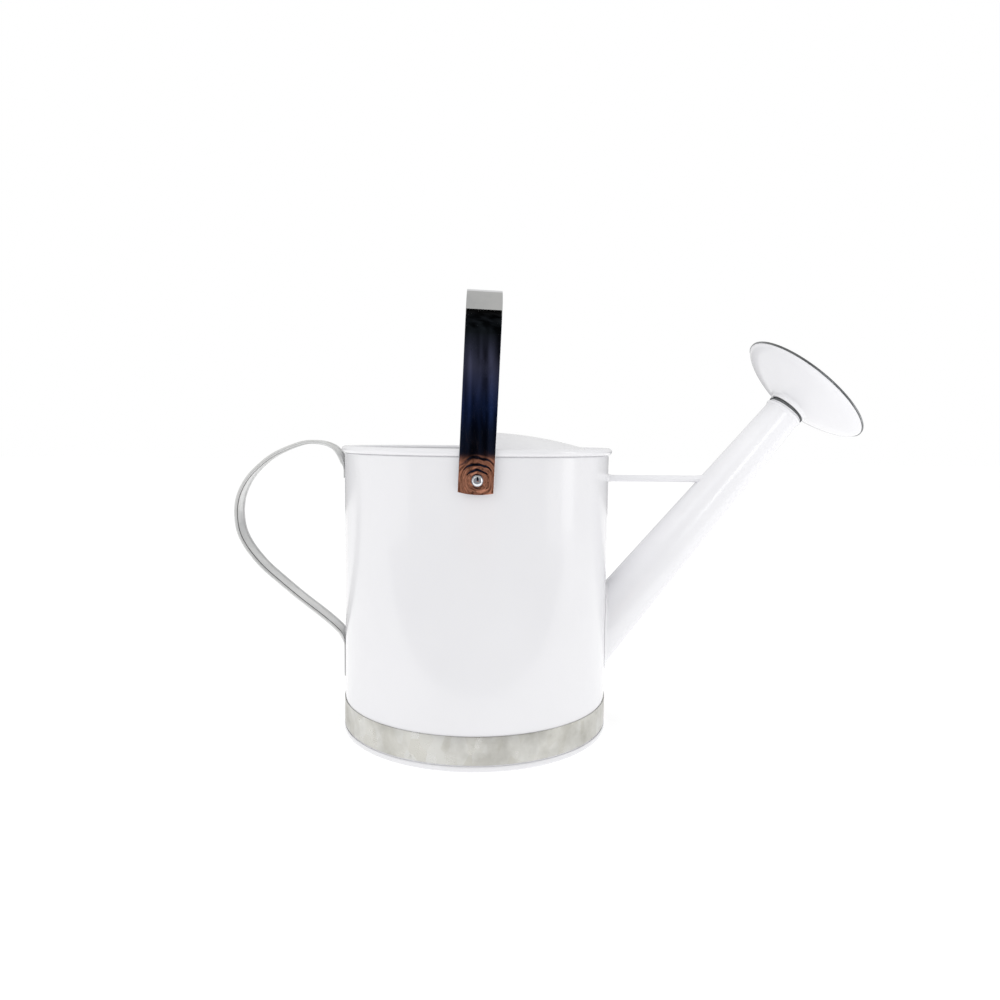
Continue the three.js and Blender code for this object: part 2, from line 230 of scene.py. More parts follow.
def smooth_path(points, steps):
    """A centripetal Catmull-Rom curve through the points."""
    pts = [Vector(p) for p in points]
    pts = [pts[0] * 2 - pts[1], *pts, pts[-1] * 2 - pts[-2]]
    made = []
    for before, start, end, after in zip(pts, pts[1:], pts[2:], pts[3:]):
        gap_in = math.sqrt((start - before).length)
        gap = math.sqrt((end - start).length)
        gap_out = math.sqrt((after - end).length)
        leave = (start - before) / gap_in - (end - before) / (gap_in + gap) + (end - start) / gap
        arrive = (end - start) / gap - (after - start) / (gap + gap_out) + (after - end) / gap_out
        for k in range(steps):
            u = k / steps
            here = start * (2 * u**3 - 3 * u**2 + 1) + end * (3 * u**2 - 2 * u**3)
            here += (leave * (u**3 - 2 * u**2 + u) + arrive * (u**3 - u**2)) * gap
            made.append(here)
    made.append(pts[-2])
    return made


def spout_frame(s):
    """The matrix that puts a shape turned about Z onto the spout axis, s mm up it."""
    turn = Vector((0, 0, 1)).rotation_difference(SPOUT_AXIS).to_matrix().to_4x4()
    return Matrix.Translation(SPOUT_ROOT + SPOUT_AXIS * s) @ turn


def rose_frame():
    turn = Matrix.Rotation(math.pi / 2 - ROSE_RISE, 4, "Y")
    return Matrix.Translation(SPOUT_ROOT + SPOUT_AXIS * NECK_S) @ turn


def across(side):
    """Turns a shape made along +Z to point out of the near (-1) or far (+1) side."""
    turn = Matrix.Rotation(-side * math.pi / 2, 4, "X")
    return Matrix.Translation(PIVOT) @ turn


BACKWARD = Matrix.Rotation(-math.pi / 2, 4, "Y")


def mesh_of(name, shape, matrix=Matrix.Identity(4)):
    verts, faces = shape
    mesh = bpy.data.meshes.new(name)
    mesh.from_pydata([(matrix @ Vector(v)) * MM for v in verts], [], faces)
    mesh.validate()
    mesh.update()
    thing = bpy.data.objects.new(name, mesh)
    bpy.context.scene.collection.objects.link(thing)
    return thing


def bake(thing):
    """Replaces an object's mesh by what its modifiers make of it."""
    bpy.context.view_layer.update()
    graph = bpy.context.evaluated_depsgraph_get()
    made = bpy.data.meshes.new_from_object(thing.evaluated_get(graph))
    old = thing.data
    thing.modifiers.clear()
    thing.data = made
    bpy.data.meshes.remove(old)


def boolean(thing, tool, operation):
    mod = thing.modifiers.new("cut", "BOOLEAN")
    mod.operation = operation
    mod.solver = "EXACT"
    mod.object = tool
    bake(thing)
    bpy.data.objects.remove(tool)


def thicken(thing, thickness):
    mod = thing.modifiers.new("sheet", "SOLIDIFY")
    mod.thickness = thickness * MM
    mod.offset = 0
    mod.use_even_offset = True
    bake(thing)


def finish_piece(thing, material, body, nodes, sharp=32):
    """Smooth shading with sharp edges by angle, then the finish, the body and the CAD nodes."""
    mesh = thing.data
    for poly in mesh.polygons:
        poly.use_smooth = True
    faces_at = {}
    for poly in mesh.polygons:
        for key in poly.edge_keys:
            faces_at.setdefault(key, []).append(poly.normal.copy())
    limit = math.radians(sharp)
    for edge in mesh.edges:
        normals = faces_at.get(edge.key, [])
        both = len(normals) == 2 and min(n.length for n in normals) > 0
        edge.use_edge_sharp = both and normals[0].angle(normals[1]) > limit
    mesh.materials.clear()
    mesh.materials.append(material)
    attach(thing, body)
    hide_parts(*nodes)
    return thing


# ---------------------------------------------------------------- finishes


class Finish:
    """A Principled material with short helpers for its procedural nodes."""

    def __init__(self, name, colour, roughness, metallic=0.0):
        self.material = bpy.data.materials.new(name)
        self.material.use_nodes = True
        self.tree = self.material.node_tree
        self.shader = self.tree.nodes["Principled BSDF"]
        self.shader.inputs["Base Color"].default_value = (*colour, 1)
        self.shader.inputs["Roughness"].default_value = roughness
        self.shader.inputs["Metallic"].default_value = metallic
        self.place = self.node("ShaderNodeTexCoord").outputs["Object"]

    def node(self, kind, **values):
        made = self.tree.nodes.new(kind)
        for key, value in values.items():
            setattr(made, key, value)
        return made

    def link(self, out, into):
        self.tree.links.new(out, into)

    def stretched(self, scale, turn=(0, 0, 0)):
        mapping = self.node("ShaderNodeMapping")
        mapping.inputs["Scale"].default_value = scale
        mapping.inputs["Rotation"].default_value = turn
        self.link(self.place, mapping.inputs["Vector"])
        return mapping.outputs["Vector"]

    def noise(self, scale, detail=4.0, rough=0.55, where=None):
        made = self.node("ShaderNodeTexNoise")
        made.inputs["Scale"].default_value = scale
        made.inputs["Detail"].default_value = detail
        made.inputs["Roughness"].default_value = rough
        self.link(where or self.place, made.inputs["Vector"])
        return made.outputs["Fac"]

    def cells(self, scale, where=None):
        made = self.node("ShaderNodeTexVoronoi")
        made.inputs["Scale"].default_value = scale
        self.link(where or self.place, made.inputs["Vector"])
        return made

    def grade(self, value, low, high, to_low, to_high):
        made = self.node("ShaderNodeMapRange")
        for key, number in zip(
            ("From Min", "From Max", "To Min", "To Max"), (low, high, to_low, to_high)
        ):
            made.inputs[key].default_value = number
        self.link(value, made.inputs["Value"])
        return made.outputs["Result"]

    def math(self, operation, a, b):
        made = self.node("ShaderNodeMath", operation=operation)
        for socket, value in zip(made.inputs, (a, b)):
            if isinstance(value, (int, float)):
                socket.default_value = value
            else:
                self.link(value, socket)
        return made.outputs["Value"]

    def mix(self, amount, a, b):
        made = self.node("ShaderNodeMix", data_type="RGBA")
        sockets = (made.inputs["Factor"], made.inputs[6], made.inputs[7])
        for socket, value in zip(sockets, (amount, a, b)):
            if isinstance(value, tuple):
                socket.default_value = (*value, 1)
            elif isinstance(value, float):
                socket.default_value = value
            else:
                self.link(value, socket)
        return made.outputs[2]

    def colour(self, out):
        self.link(out, self.shader.inputs["Base Color"])

    def rough(self, out):
        self.link(out, self.shader.inputs["Roughness"])

    def bump(self, height, distance, strength=1.0, below=None):
        made = self.node("ShaderNodeBump")
        made.inputs["Strength"].default_value = strength
        made.inputs["Distance"].default_value = distance
        self.link(height, made.inputs["Height"])
        if below:
            self.link(below, made.inputs["Normal"])
        self.link(made.outputs["Normal"], self.shader.inputs["Normal"])
        return made.outputs["Normal"]


def white_enamel():
    """Glossy white coat: a faint orange peel, a slow wave in the sheet, thin dust and smears."""
    f = Finish("white_enamel", (0.865, 0.863, 0.885), 0.2)
    f.shader.inputs["Coat Weight"].default_value = 0.35
    f.shader.inputs["Coat Roughness"].default_value = 0.06
    tint = f.noise(9, 3)
    smear = f.noise(38, 6, 0.62, f.stretched((1, 1, 0.35)))
    dust = f.cells(900).outputs["Distance"]
    base = f.mix(f.grade(tint, 0.35, 0.65, 0, 1), (0.85, 0.848, 0.87), (0.878, 0.876, 0.897))
    base = f.mix(f.grade(dust, 0.0, 0.06, 0.35, 0.0), base, (0.66, 0.65, 0.62))
    f.colour(base)
    f.rough(f.grade(smear, 0.4, 0.72, 0.16, 0.26))
    f.bump(f.noise(620, 2, 0.4), 0.00003, 0.3)
    return f.material


def galvanised(name, warm, cool, dark, low, high, metallic):
    """Zinc-coated sheet: frosted spangles, cloudy tarnish, rolling lines and rub marks."""
    f = Finish(name, warm, 0.4, metallic)
    spangle = f.cells(150, f.stretched((1, 1, 0.6)))
    cloud = f.noise(22, 5, 0.6)
    lines = f.noise(60, 3, 0.5, f.stretched((0.6, 0.6, 26)))
    spots = f.noise(120, 3, 0.5)
    grey = f.node("ShaderNodeSeparateColor")
    f.link(spangle.outputs["Color"], grey.inputs["Color"])
    tone = f.mix(f.grade(grey.outputs["Red"], 0, 1, 0.2, 0.8), warm, cool)
    tone = f.mix(f.grade(cloud, 0.44, 0.66, 0, 0.7), tone, dark)
    tone = f.mix(f.grade(spots, 0.63, 0.72, 0, 0.35), tone, dark)
    f.colour(tone)
    uneven = f.math("ADD", f.grade(cloud, 0.3, 0.7, low, high), f.grade(lines, 0, 1, -0.05, 0.05))
    f.rough(f.math("ADD", uneven, f.grade(grey.outputs["Green"], 0, 1, -0.04, 0.06)))
    fine = f.bump(lines, 0.00004, 0.5)
    f.bump(f.noise(45, 3), 0.0003, 0.3, fine)
    return f.material


def mirror_steel():
    """Polished stainless strap: nearly clean, with hairline scratches along it and faint smears."""
    f = Finish("polished_stainless", (0.82, 0.82, 0.84), 0.04, 1.0)
    hair = f.noise(300, 2, 0.5, f.stretched((9, 9, 0.25)))
    smear = f.noise(60, 5, 0.6)
    f.rough(
        f.math("ADD", f.grade(smear, 0.5, 0.8, 0.035, 0.11), f.grade(hair, 0.62, 0.75, 0, 0.05))
    )
    f.colour(f.mix(f.grade(smear, 0.45, 0.75, 0, 1), (0.84, 0.84, 0.86), (0.74, 0.745, 0.77)))

    # The sheet is pulled into ripples round its rivets.
    middle = f.node("ShaderNodeMapping")
    middle.inputs["Location"].default_value = (-PIVOT.x * MM, 0, -PIVOT.z * MM)
    middle.inputs["Scale"].default_value = (1, 0, 1)
    f.link(f.place, middle.inputs["Vector"])
    reach = f.node("ShaderNodeVectorMath", operation="LENGTH")
    f.link(middle.outputs["Vector"], reach.inputs[0])
    away = reach.outputs["Value"]
    turns = f.math("ADD", f.math("MULTIPLY", away, 1700), f.math("MULTIPLY", f.noise(110, 2), 9))
    ripple = f.math("MULTIPLY", f.math("SINE", turns, 0), f.grade(away, 0.004, 0.016, 1, 0))
    low = f.bump(ripple, 0.00003, 1.0)
    f.bump(f.noise(26, 1), 0.00012, 0.35, low)
    return f.material


def dull_steel():
    """Bare steel trim, grey and slightly tarnished."""
    f = Finish("dull_steel", (0.3, 0.31, 0.32), 0.4, 1.0)
    cloud = f.noise(90, 5, 0.6)
    f.colour(f.mix(f.grade(cloud, 0.35, 0.7, 0, 1), (0.34, 0.35, 0.36), (0.2, 0.205, 0.21)))
    f.rough(f.grade(cloud, 0.3, 0.7, 0.3, 0.5))
    f.bump(f.noise(700, 2), 0.00003, 0.5)
    return f.material


def bright_face():
    """The rose's perforated plate: bright tinned steel with a turned grain."""
    f = Finish("tinned_plate", (0.62, 0.62, 0.6), 0.3, 1.0)
    cloud = f.noise(50, 5, 0.6)
    f.colour(f.mix(f.grade(cloud, 0.35, 0.7, 0, 1), (0.66, 0.66, 0.65), (0.5, 0.5, 0.49)))
    f.rough(f.grade(cloud, 0.3, 0.7, 0.22, 0.4))
    f.bump(f.noise(500, 2), 0.00003, 0.4)
    return f.material


def rubber():
    f = Finish("grey_rubber", (0.11, 0.115, 0.12), 0.7)
    grain = f.noise(900, 3)
    f.colour(f.mix(f.grade(grain, 0.3, 0.7, 0, 1), (0.1, 0.105, 0.11), (0.14, 0.145, 0.15)))
    f.rough(f.grade(grain, 0.3, 0.7, 0.6, 0.8))
    f.bump(grain, 0.00004, 0.6)
    return f.material


enamel = white_enamel()
band_metal = galvanised(
    "galvanised_band", (0.6, 0.59, 0.54), (0.7, 0.7, 0.68), (0.36, 0.35, 0.31), 0.24, 0.4, 1.0
)
strap_metal = galvanised(
    "galvanised_strap",
    (0.76, 0.76, 0.745),
    (0.82, 0.825, 0.82),
    (0.62, 0.625, 0.62),
    0.3,
    0.44,
    0.4,
)
# Near-black sheet for the handle's slots: painted shade in the crease, not a finish of the metal.
painted_slot_shade = galvanised(
    "painted_slot_shade", (0.07, 0.07, 0.068), (0.1, 0.1, 0.098), (0.04, 0.04, 0.038), 0.5, 0.7, 0.3
)
polished = mirror_steel()
bare = dull_steel()
tinned = bright_face()
seal_rubber = rubber()


# ---------------------------------------------------------------- tank


def spout_radius(s):
    return SPOUT_ROOT_R - SPOUT_TAPER * s


def tank():
    wall = TANK_R - SHEET / 2
    rows = [(wall, WALL_FOOT + (LEAN_START - WALL_FOOT) * i / 16) for i in range(17)]
    line = [(wall + 0.2, WALL_FOOT), *rows, *arc(RIM_R, RIM_Z, CURL_R, 205, -94, 22)]
    skin = mesh_of("tank_skin", lathe(sheet_outline(line, SHEET), ROUND))
    bore = [
        (0, -45),
        (spout_radius(-45) - SHEET, -45),
        (spout_radius(60) - SHEET, 60),
        (0, 60),
    ]
    boolean(skin, mesh_of("bore", lathe(bore, SPOUT_ROUND), spout_frame(0)), "DIFFERENCE")
    for side in (-1, 1):
        boolean(skin, mesh_of("hole", rod(PIVOT_HOLE_R, 85, 105), across(side)), "DIFFERENCE")
    for z in HANDLE_RIVETS.values():
        place = Matrix.Translation((0, 0, z)) @ BACKWARD
        boolean(skin, mesh_of("hole", rod(HANDLE_HOLE_R, 85, 105), place), "DIFFERENCE")
    finish_piece(skin, enamel, "can", ["body_shell"])

    # The folded seam inside the rear of the wall: a low rounded ridge.
    ridge = [(-3.5, 0), (3.5, 0), (3.3, 0.5), (2.6, 0.75), (-2.6, 0.75), (-3.3, 0.5)]
    inner = TANK_R - SHEET
    rings = []
    for z in (3, 50, 100, 150, 190):
        rings.append([(-math.sqrt(inner**2 - y**2) + h + 0.01, y, z) for y, h in ridge])
    seam = mesh_of("tank_seam", sweep(ridge, rings))
    finish_piece(seam, enamel, "can", ["body_shell"])


def base():
    line = [
        (0, SHEET / 2),
        (30, SHEET / 2),
        (61, SHEET / 2),
        *[(62 + 2.2 * i / 6, 0.85 - 0.6 * math.cos(math.pi * i / 6)) for i in range(7)],
        *[(73.8 + 2.2 * i / 6, 0.85 + 0.6 * math.cos(math.pi * i / 6)) for i in range(7)],
        *arc(TANK_R - 0.45, FOOT_LOW, FOOT_CORNER, -90, 0, 10),
        *arc(TANK_R - 0.45, FOOT_HIGH, FOOT_CORNER, 0, 50, 7),
    ]
    pan = mesh_of("base_pan_skin", lathe(sheet_outline(line, SHEET), ROUND))
    finish_piece(pan, enamel, "can", ["base_pan"])

    # A bare strip round the foot of the wall, with softened edges.
    low, high = BAND_LOW, BAND_HIGH
    band = mesh_of("band", rounded_ring(TANK_R + 0.12, TANK_R + 0.62, low, high, 0.2, ROUND))
    finish_piece(band, band_metal, "can", ["base_band"], 60)


def hood_height(x, y):
    return HOOD_TOP - HOOD_DROP * (x * x + y * y) / HOOD_DROP_R**2


def hood():
    """Half dome with its straight edge folded under and its round edge turned down."""
    columns, dome_rows = 96, 26
    steepest = math.acos((HOOD_EDGE + 0.9) / HOOD_R)
    grid = []
    for j in range(columns + 1):
        a = -steepest + 2 * steepest * j / columns
        y = HOOD_R * math.sin(a)
        far = HOOD_R * math.cos(a)
        fold = min(HEM, 0.7 * (far - HOOD_EDGE))
        column = []
        for i in range(4):
            x = HOOD_EDGE + fold + (HEM_FOLD - fold) * i / 3
            column.append((x, y, hood_height(x, y) - 2 * HEM_FOLD))
        for i in range(1, 8):
            b = math.pi * i / 8
            x = HOOD_EDGE + HEM_FOLD - HEM_FOLD * math.sin(b)
            z = hood_height(x, y) - HEM_FOLD - HEM_FOLD * math.cos(b)
            column.append((x, y, z))
        for i in range(dome_rows + 1):
            x = HOOD_EDGE + HEM_FOLD + (far - HOOD_EDGE - HEM_FOLD) * i / dome_rows
            column.append((x, y, hood_height(x, y)))
        for r, z in ((92.4, 197.4), (93.1, 196.4), (93.6, 195), (93.8, 193.6), (93.8, 190.6)):
            column.append((r * math.cos(a), r * math.sin(a), z))
        grid.append(column)
    depth = len(grid[0])
    verts = [p for column in grid for p in column]
    faces = []
    for j in range(columns):
        for i in range(depth - 1):
            a, b = j * depth + i, (j + 1) * depth + i
            faces.append([a, a + 1, b + 1, b])
    skin = mesh_of("hood_skin", (verts, faces))
    thicken(skin, SHEET)
    finish_piece(skin, enamel, "can", ["hood"], 50)


# ---------------------------------------------------------------- spout and brace


def on_tank(angle, extra, height):
    """Where a line of the cone, extra mm outside it, meets a cylinder height mm off the tank."""
    place = spout_frame(0)
    low, high = -40.0, 70.0
    for _ in range(50):
        s = (low + high) / 2
        r = spout_radius(s) + extra
        p = place @ Vector((r * math.cos(angle), r * math.sin(angle), s))
        if p.xy.length < TANK_R + height:
            low = s
        else:
            high = s
    return s, r


def spout():
    """Tapered tube with a soldered fillet on the tank and a rolled bead at its mouth."""
    turns, rows = SPOUT_ROUND, 30
    fillet = [(2.1, 0.32), (1.25, 0.5), (0.62, 0.95), (0.22, 1.7), (0.03, 2.9)]
    place = spout_frame(0)
    bead = [(spout_radius(BEAD_START) - 0.25, BEAD_START)]
    bead += arc(13.0, BEAD_START + 2.4, MOUTH_BEAD_R, -72, 76, 9)
    bead += [(13.0, 205.7), (12.95, SPOUT_END)]
    grid = []
    for j in range(turns):
        a = 2 * math.pi * j / turns
        column = []
        for extra, height in fillet:
            s, r = on_tank(a, extra - 0.25, height)
            column.append((r, s))
        start = column[-1][1]
        for i in range(1, rows):
            s = start + (BEAD_START - 1 - start) * i / (rows - 1)
            column.append((spout_radius(s) - 0.25, s))
        column += bead
        grid.append([place @ Vector((r * math.cos(a), r * math.sin(a), s)) for r, s in column])
    depth = len(grid[0])
    verts = [p for column in grid for p in column]
    faces = []
    for j in range(turns):
        k = (j + 1) % turns
        for i in range(depth - 1):
            a, b = j * depth + i, k * depth + i
            faces.append([a, b, b + 1, a + 1])
    skin = mesh_of("spout_skin", (verts, faces))
    thicken(skin, SHEET)
    finish_piece(skin, enamel, "can", ["spout_tube"], 45)


def brace():
    """A rod with a small soldered foot on the tank and another on the spout."""
    profile = [
        (0, 94.75),
        (4.1, 94.75),
        (4.05, 95.4),
        (3.4, 96.2),
        (2.75, 97.4),
        (BRACE_R, 99.5),
        (BRACE_R, 160),
        (2.65, 162.5),
        (3, 165.5),
        (3.5, 168),
        (3.5, 180),
        (0, 180),
    ]
    place = Matrix.Translation((0, 0, BRACE_Z)) @ Matrix.Rotation(math.pi / 2, 4, "Y")
    bar = mesh_of("brace_rod", lathe(profile, 64), place)
    inside = [(0, 0), (spout_radius(0) - 0.2, 0), (spout_radius(200) - 0.2, 200), (0, 200)]
    boolean(bar, mesh_of("cone", lathe(inside, SPOUT_ROUND), spout_frame(0)), "DIFFERENCE")
    finish_piece(bar, enamel, "can", ["spout_brace"])


# ---------------------------------------------------------------- rear handle


# The middle line of the strap as x, z and the half width between its rolled edges.
HANDLE_LINE = [
    (HANDLE_END, 180, 6.5),
    (HANDLE_END, 186, 7.5),
    (-96.5, 190.2, 8.2),
    (-99.3, 197, 8.5),
    (-103.5, 201.8, 7.2),
    (-110.2, 204.6, 5.8),
    (-117.3, 205.4, 5.2),
    (-123.7, 205.1, 5),
    (-132.1, 202.6, 5),
    (-140.6, 199, 5.2),
    (-147, 195.5, 5.6),
    (-153.8, 190.3, 6.3),
    (-161.9, 182.3, 7.3),
    (-167.2, 174.4, 8.2),
    (-171, 164.9, 8.75),
    (-172.37, 153.5, 8.75),
    (-170.8, 141, 8.75),
    (-166.1, 130.6, 8.75),
    (-155.2, 116.5, 8.75),
    (-141.2, 103.6, 8.75),
    (-127, 91.5, 8.75),
    (-112.7, 80.2, 8.75),
    (-101.8, 70.7, 8.75),
    (-97.3, 65, 8.75),
    (HANDLE_END, 58, 8.5),
    (HANDLE_END, 35, 7.5),
]


def along_handle(section):
    """Rings of a section along the handle, its ends pressed flat and bent round the wall."""
    path = smooth_path(HANDLE_LINE, 8)
    rings = []
    for i, here in enumerate(path):
        along = path[min(i + 1, len(path) - 1)] - path[max(i - 1, 0)]
        along = Vector((along.x, along.y)).normalized()
        x = min(here.x, HANDLE_END)
        room = min(BEAD_R, max(PRESSED, -x - HANDLE_BACK))
        pressed = (BEAD_R - room) / (BEAD_R - PRESSED)
        ring = []
        for side, wide, out in section:
            y = side * here.z + wide
            out = math.copysign(max(min(abs(out), WEB / 2), abs(out) * room / BEAD_R), out)
            bend = pressed * (TANK_R - math.sqrt(TANK_R**2 - y**2))
            ring.append((x - along.y * out + bend, y, here.y + along.x * out))
        rings.append(ring)
    return rings


def on_roll(side, turns):
    """Points of a roll at (degrees from its outer side, radius), in the section's plane."""
    points = []
    for degrees, radius in turns:
        a = math.radians(degrees)
        points.append((side, side * radius * math.cos(a), radius * math.sin(a)))
    return points if side == 1 else points[::-1]


def rear_handle():
    """Strap with rolled edges; each roll's free edge leaves an open slot on the inner face."""
    foot = 180 - math.degrees(math.asin(WEB / 2 / BEAD_R))
    roll = [(-foot + (foot + 46) * i / 14, BEAD_R) for i in range(15)]
    roll += [(52, BEAD_R * 0.5), (100, BEAD_R * 0.5)]
    roll += [(104 + (foot - 104) * i / 5, BEAD_R) for i in range(6)]
    section = on_roll(1, roll) + on_roll(-1, roll)
    strap = mesh_of("handle_strap", sweep(section, along_handle(section)))
    for z in HANDLE_RIVETS.values():
        place = Matrix.Translation((0, 0, z)) @ BACKWARD
        boolean(strap, mesh_of("hole", rod(HANDLE_HOLE_R, 94, 104), place), "DIFFERENCE")
    finish_piece(strap, strap_metal, "can", ["rear_handle"], 40)

    # A near-black sheet in each slot paints the shade of the crease between the roll and the web.
    for name, side in (("near", -1), ("far", 1)):
        low, high = BEAD_R * 0.42, BEAD_R * 0.8
        line = on_roll(side, [(50, low), (50, high), (75, high), (101, high), (101, low)])
        slot = mesh_of(f"handle_slot_{name}", sweep(line[::-1], along_handle(line[::-1])))
        finish_piece(slot, painted_slot_shade, "can", ["rear_handle"], 40)


def rivet_shape(shank, head, height, face, back, inner_height):
    """Domed head past face, shank, and a flatter closed head before back."""
    dome = [
        (head * math.cos(math.radians(a)), face + height * math.sin(math.radians(a)))
        for a in (2, 12, 24, 36, 48, 60, 70, 80)
    ]
    return lathe(
        [
            (0, back - inner_height),
            (head * 0.55, back - inner_height * 0.92),
            (head * 0.85, back - inner_height * 0.6),
            (head, back - 0.05),
            (head * 0.98, back),
            (shank, back),
            (shank, face),
            (head * 0.97, face),
            *dome,
            (0, face + height),
        ],
        56,
    )


def handle_rivets():
    face = -HANDLE_END + WEB / 2 + 0.1
    for name, z in HANDLE_RIVETS.items():
        place = Matrix.Translation((0, 0, z)) @ BACKWARD
        shape = rivet_shape(1.7, 3.2, 0.7, face, TANK_R - 1.5, 0.4)
        pin = mesh_of(f"handle_rivet_{name}_skin", shape, place)
        finish_piece(pin, strap_metal, "can", [f"handle_rivet_{name}"])


# ---------------------------------------------------------------- bail


def bail():
    """A flat polished strap, bent into a square arch and leaning on its pivots."""
    half, edge, flat = BAIL_WIDTH / 2, 0.2, 0.5
    mid = BAIL_SHEET / 2
    out = BAIL_OUT - mid
    corner = BAIL_CORNER_R - mid
    side = BAIL_OUT - BAIL_CORNER_R
    crown_half = side + BAIL_CORNER_R * math.sin(BAIL_CROWN)
    crown_r = crown_half / math.sin(BAIL_CROWN)
    crown_z = BAIL_CORNER_Z + (BAIL_CORNER_R - crown_r) * math.cos(BAIL_CROWN)
    leg = [(out, -BAIL_END + (BAIL_CORNER_Z + BAIL_END) * i / 40) for i in range(40)]
    first = arc(side, BAIL_CORNER_Z, corner, 0, 85, 30)
    crown = arc(0, crown_z, crown_r - mid, 85, 90, 12)[1:]
    line = leg + first + crown
    line += [(-y, z) for y, z in reversed(line[:-1])]
    places = [(half - flat) * (1 - i / 7) for i in range(15)]
    section = (
        arc(half - edge, mid - edge, edge, 0, 90, 4)
        + [(place, mid) for place in places]
        + arc(edge - half, mid - edge, edge, 90, 180, 4)
        + arc(edge - half, edge - mid, edge, 180, 270, 4)
        + [(-place, -mid) for place in places]
        + arc(half - edge, edge - mid, edge, 270, 360, 4)
    )
    lean = Matrix.Translation(PIVOT) @ Matrix.Rotation(BAIL_LEAN, 4, "Y")
    rings = []
    for i, (y, z) in enumerate(line):
        ahead = Vector(line[min(i + 1, len(line) - 1)])
        behind = Vector(line[max(i - 1, 0)])
        along = (ahead - behind).normalized()
        normal = Vector((along.y, -along.x))
        ring = []
        for a, b in section:
            rounding = BAIL_SAG * (a / half) ** 2 * max(0.0, -z / BAIL_END)
            ring.append((a - BAIL_HOLE_X, y + normal.x * b, z + normal.y * b + rounding))
        rings.append([lean @ Vector(p) for p in ring])
    strap = mesh_of("bail_band", sweep(section, rings))
    for direction in (-1, 1):
        hole = mesh_of("hole", rod(PIVOT_HOLE_R, 90, 105), across(direction))
        boolean(strap, hole, "DIFFERENCE")
    finish_piece(strap, polished, "bail", ["bail_strap"], 40)


def pivots():
    for name, side in (("near", -1), ("far", 1)):
        place = across(side)
        burr = TANK_R - SHEET - 1.7
        shape = rivet_shape(2.1, 3.6, 2.6, BAIL_OUT + 0.12, burr - 0.1, 1.3)
        pin = mesh_of(f"pivot_rivet_{name}", shape, place)
        finish_piece(pin, polished, "can", [f"bail_rivet_{name}"])
        strap_back = BAIL_OUT - BAIL_SHEET - 0.25
        spacer = rounded_ring(PIVOT_HOLE_R, 6, TANK_R + 0.1, strap_back, 0.2, 64)
        disc = mesh_of(f"pivot_spacer_{name}", spacer, place)
        finish_piece(disc, bare, "can", [f"bail_spacer_{name}"], 60)
        washer = rounded_ring(PIVOT_HOLE_R, 5.5, burr, burr + 1.2, 0.25, 64)
        disc = mesh_of(f"pivot_washer_{name}", washer, place)
        finish_piece(disc, bare, "can", [f"bail_burr_{name}"], 60)


# ---------------------------------------------------------------- rose


def rose():
    turns = ROSE_ROUND
    seal = rounded_ring(SLEEVE_R + 0.3, 13.9, *SEAL, 0.2, turns)
    ring = mesh_of("seal_ring", seal, spout_frame(0))
    finish_piece(ring, seal_rubber, "seal", ["rose_seal"], 60)

    tube = rounded_ring(SLEEVE_R - SHEET, SLEEVE_R, *SLEEVE, 0.15, turns)
    sleeve = mesh_of("sleeve_tube", tube, spout_frame(0))
    finish_piece(sleeve, bare, "rose", ["rose_sleeve"], 60)

    line = [(SLEEVE_R + 0.6, SHEET / 2)]
    line += arc(NECK_R - 0.6, SHEET / 2 + 0.6, 0.6, -90, 0, 5)
    line += [(NECK_R, 2.1)]
    for i in range(29):
        t = BOWL_CUT * i / 28
        flare = 1 - (1 - t) ** BOWL_POWER
        line.append((15 + (BOWL_R - 15) * flare, BOWL_START + (BOWL_END - BOWL_START) * t))
    bowl = mesh_of("rose_bowl", lathe(sheet_outline(line, SHEET), turns), rose_frame())
    finish_piece(bowl, enamel, "rose", ["rose_body"], 50)

    line = []
    for i in range(17):
        line.append((FACE_EDGE * i / 16, FACE_T + FACE_CROWN * (1 - (i / 16) ** 2)))
    line.append((FACE_R, FACE_T))
    plate = mesh_of("rose_plate", lathe(sheet_outline(line, SHEET), turns))
    verts, faces = [], []
    for count in range(HOLE_RINGS):
        holes = max(count * 6, 1)
        for i in range(holes):
            a = 2 * math.pi * (i + count / 2) / holes
            shift = Vector((math.cos(a), math.sin(a), 0)) * count * HOLE_STEP
            drill_verts, drill_faces = rod(1, FACE_T - 2, FACE_T + FACE_CROWN + 3, 16)
            faces += [[len(verts) + v for v in face] for face in drill_faces]
            verts += [Vector(v) + shift for v in drill_verts]
    boolean(plate, mesh_of("drills", (verts, faces)), "DIFFERENCE")
    plate.data.transform(Matrix.Scale(MM, 4) @ rose_frame() @ Matrix.Scale(1 / MM, 4))
    finish_piece(plate, tinned, "rose", ["rose_face"], 40)

    crimp = [(50.1, 18.5), *arc(49.5, 19.15, 0.6, 0, 90, 8), (48.9, 19.75)]
    hoop = mesh_of("rose_hoop", lathe(sheet_outline(crimp, 0.4), turns), rose_frame())
    finish_piece(hoop, bare, "rose", ["rose_rim"], 60)


def rim_wire():
    wire = lathe(arc(RIM_R, RIM_Z, WIRE_R, 0, 345, 23), ROUND)
    thing = mesh_of("lip_wire", wire)
    finish_piece(thing, bare, "can", ["rim_wire"], 60)


tank()
rim_wire()
base()
hood()
spout()
brace()
rear_handle()
handle_rivets()
bail()
pivots()
rose()


# ---------------------------------------------------------------- floor, light and camera


def emitter(name, colour, strength):
    material = bpy.data.materials.new(name)
    material.use_nodes = True
    tree = material.node_tree
    tree.nodes.clear()
    out = tree.nodes.new("ShaderNodeOutputMaterial")
    glow = tree.nodes.new("ShaderNodeEmission")
    glow.inputs["Color"].default_value = (*colour, 1)
    glow.inputs["Strength"].default_value = strength
    tree.links.new(glow.outputs["Emission"], out.inputs["Surface"])
    return material


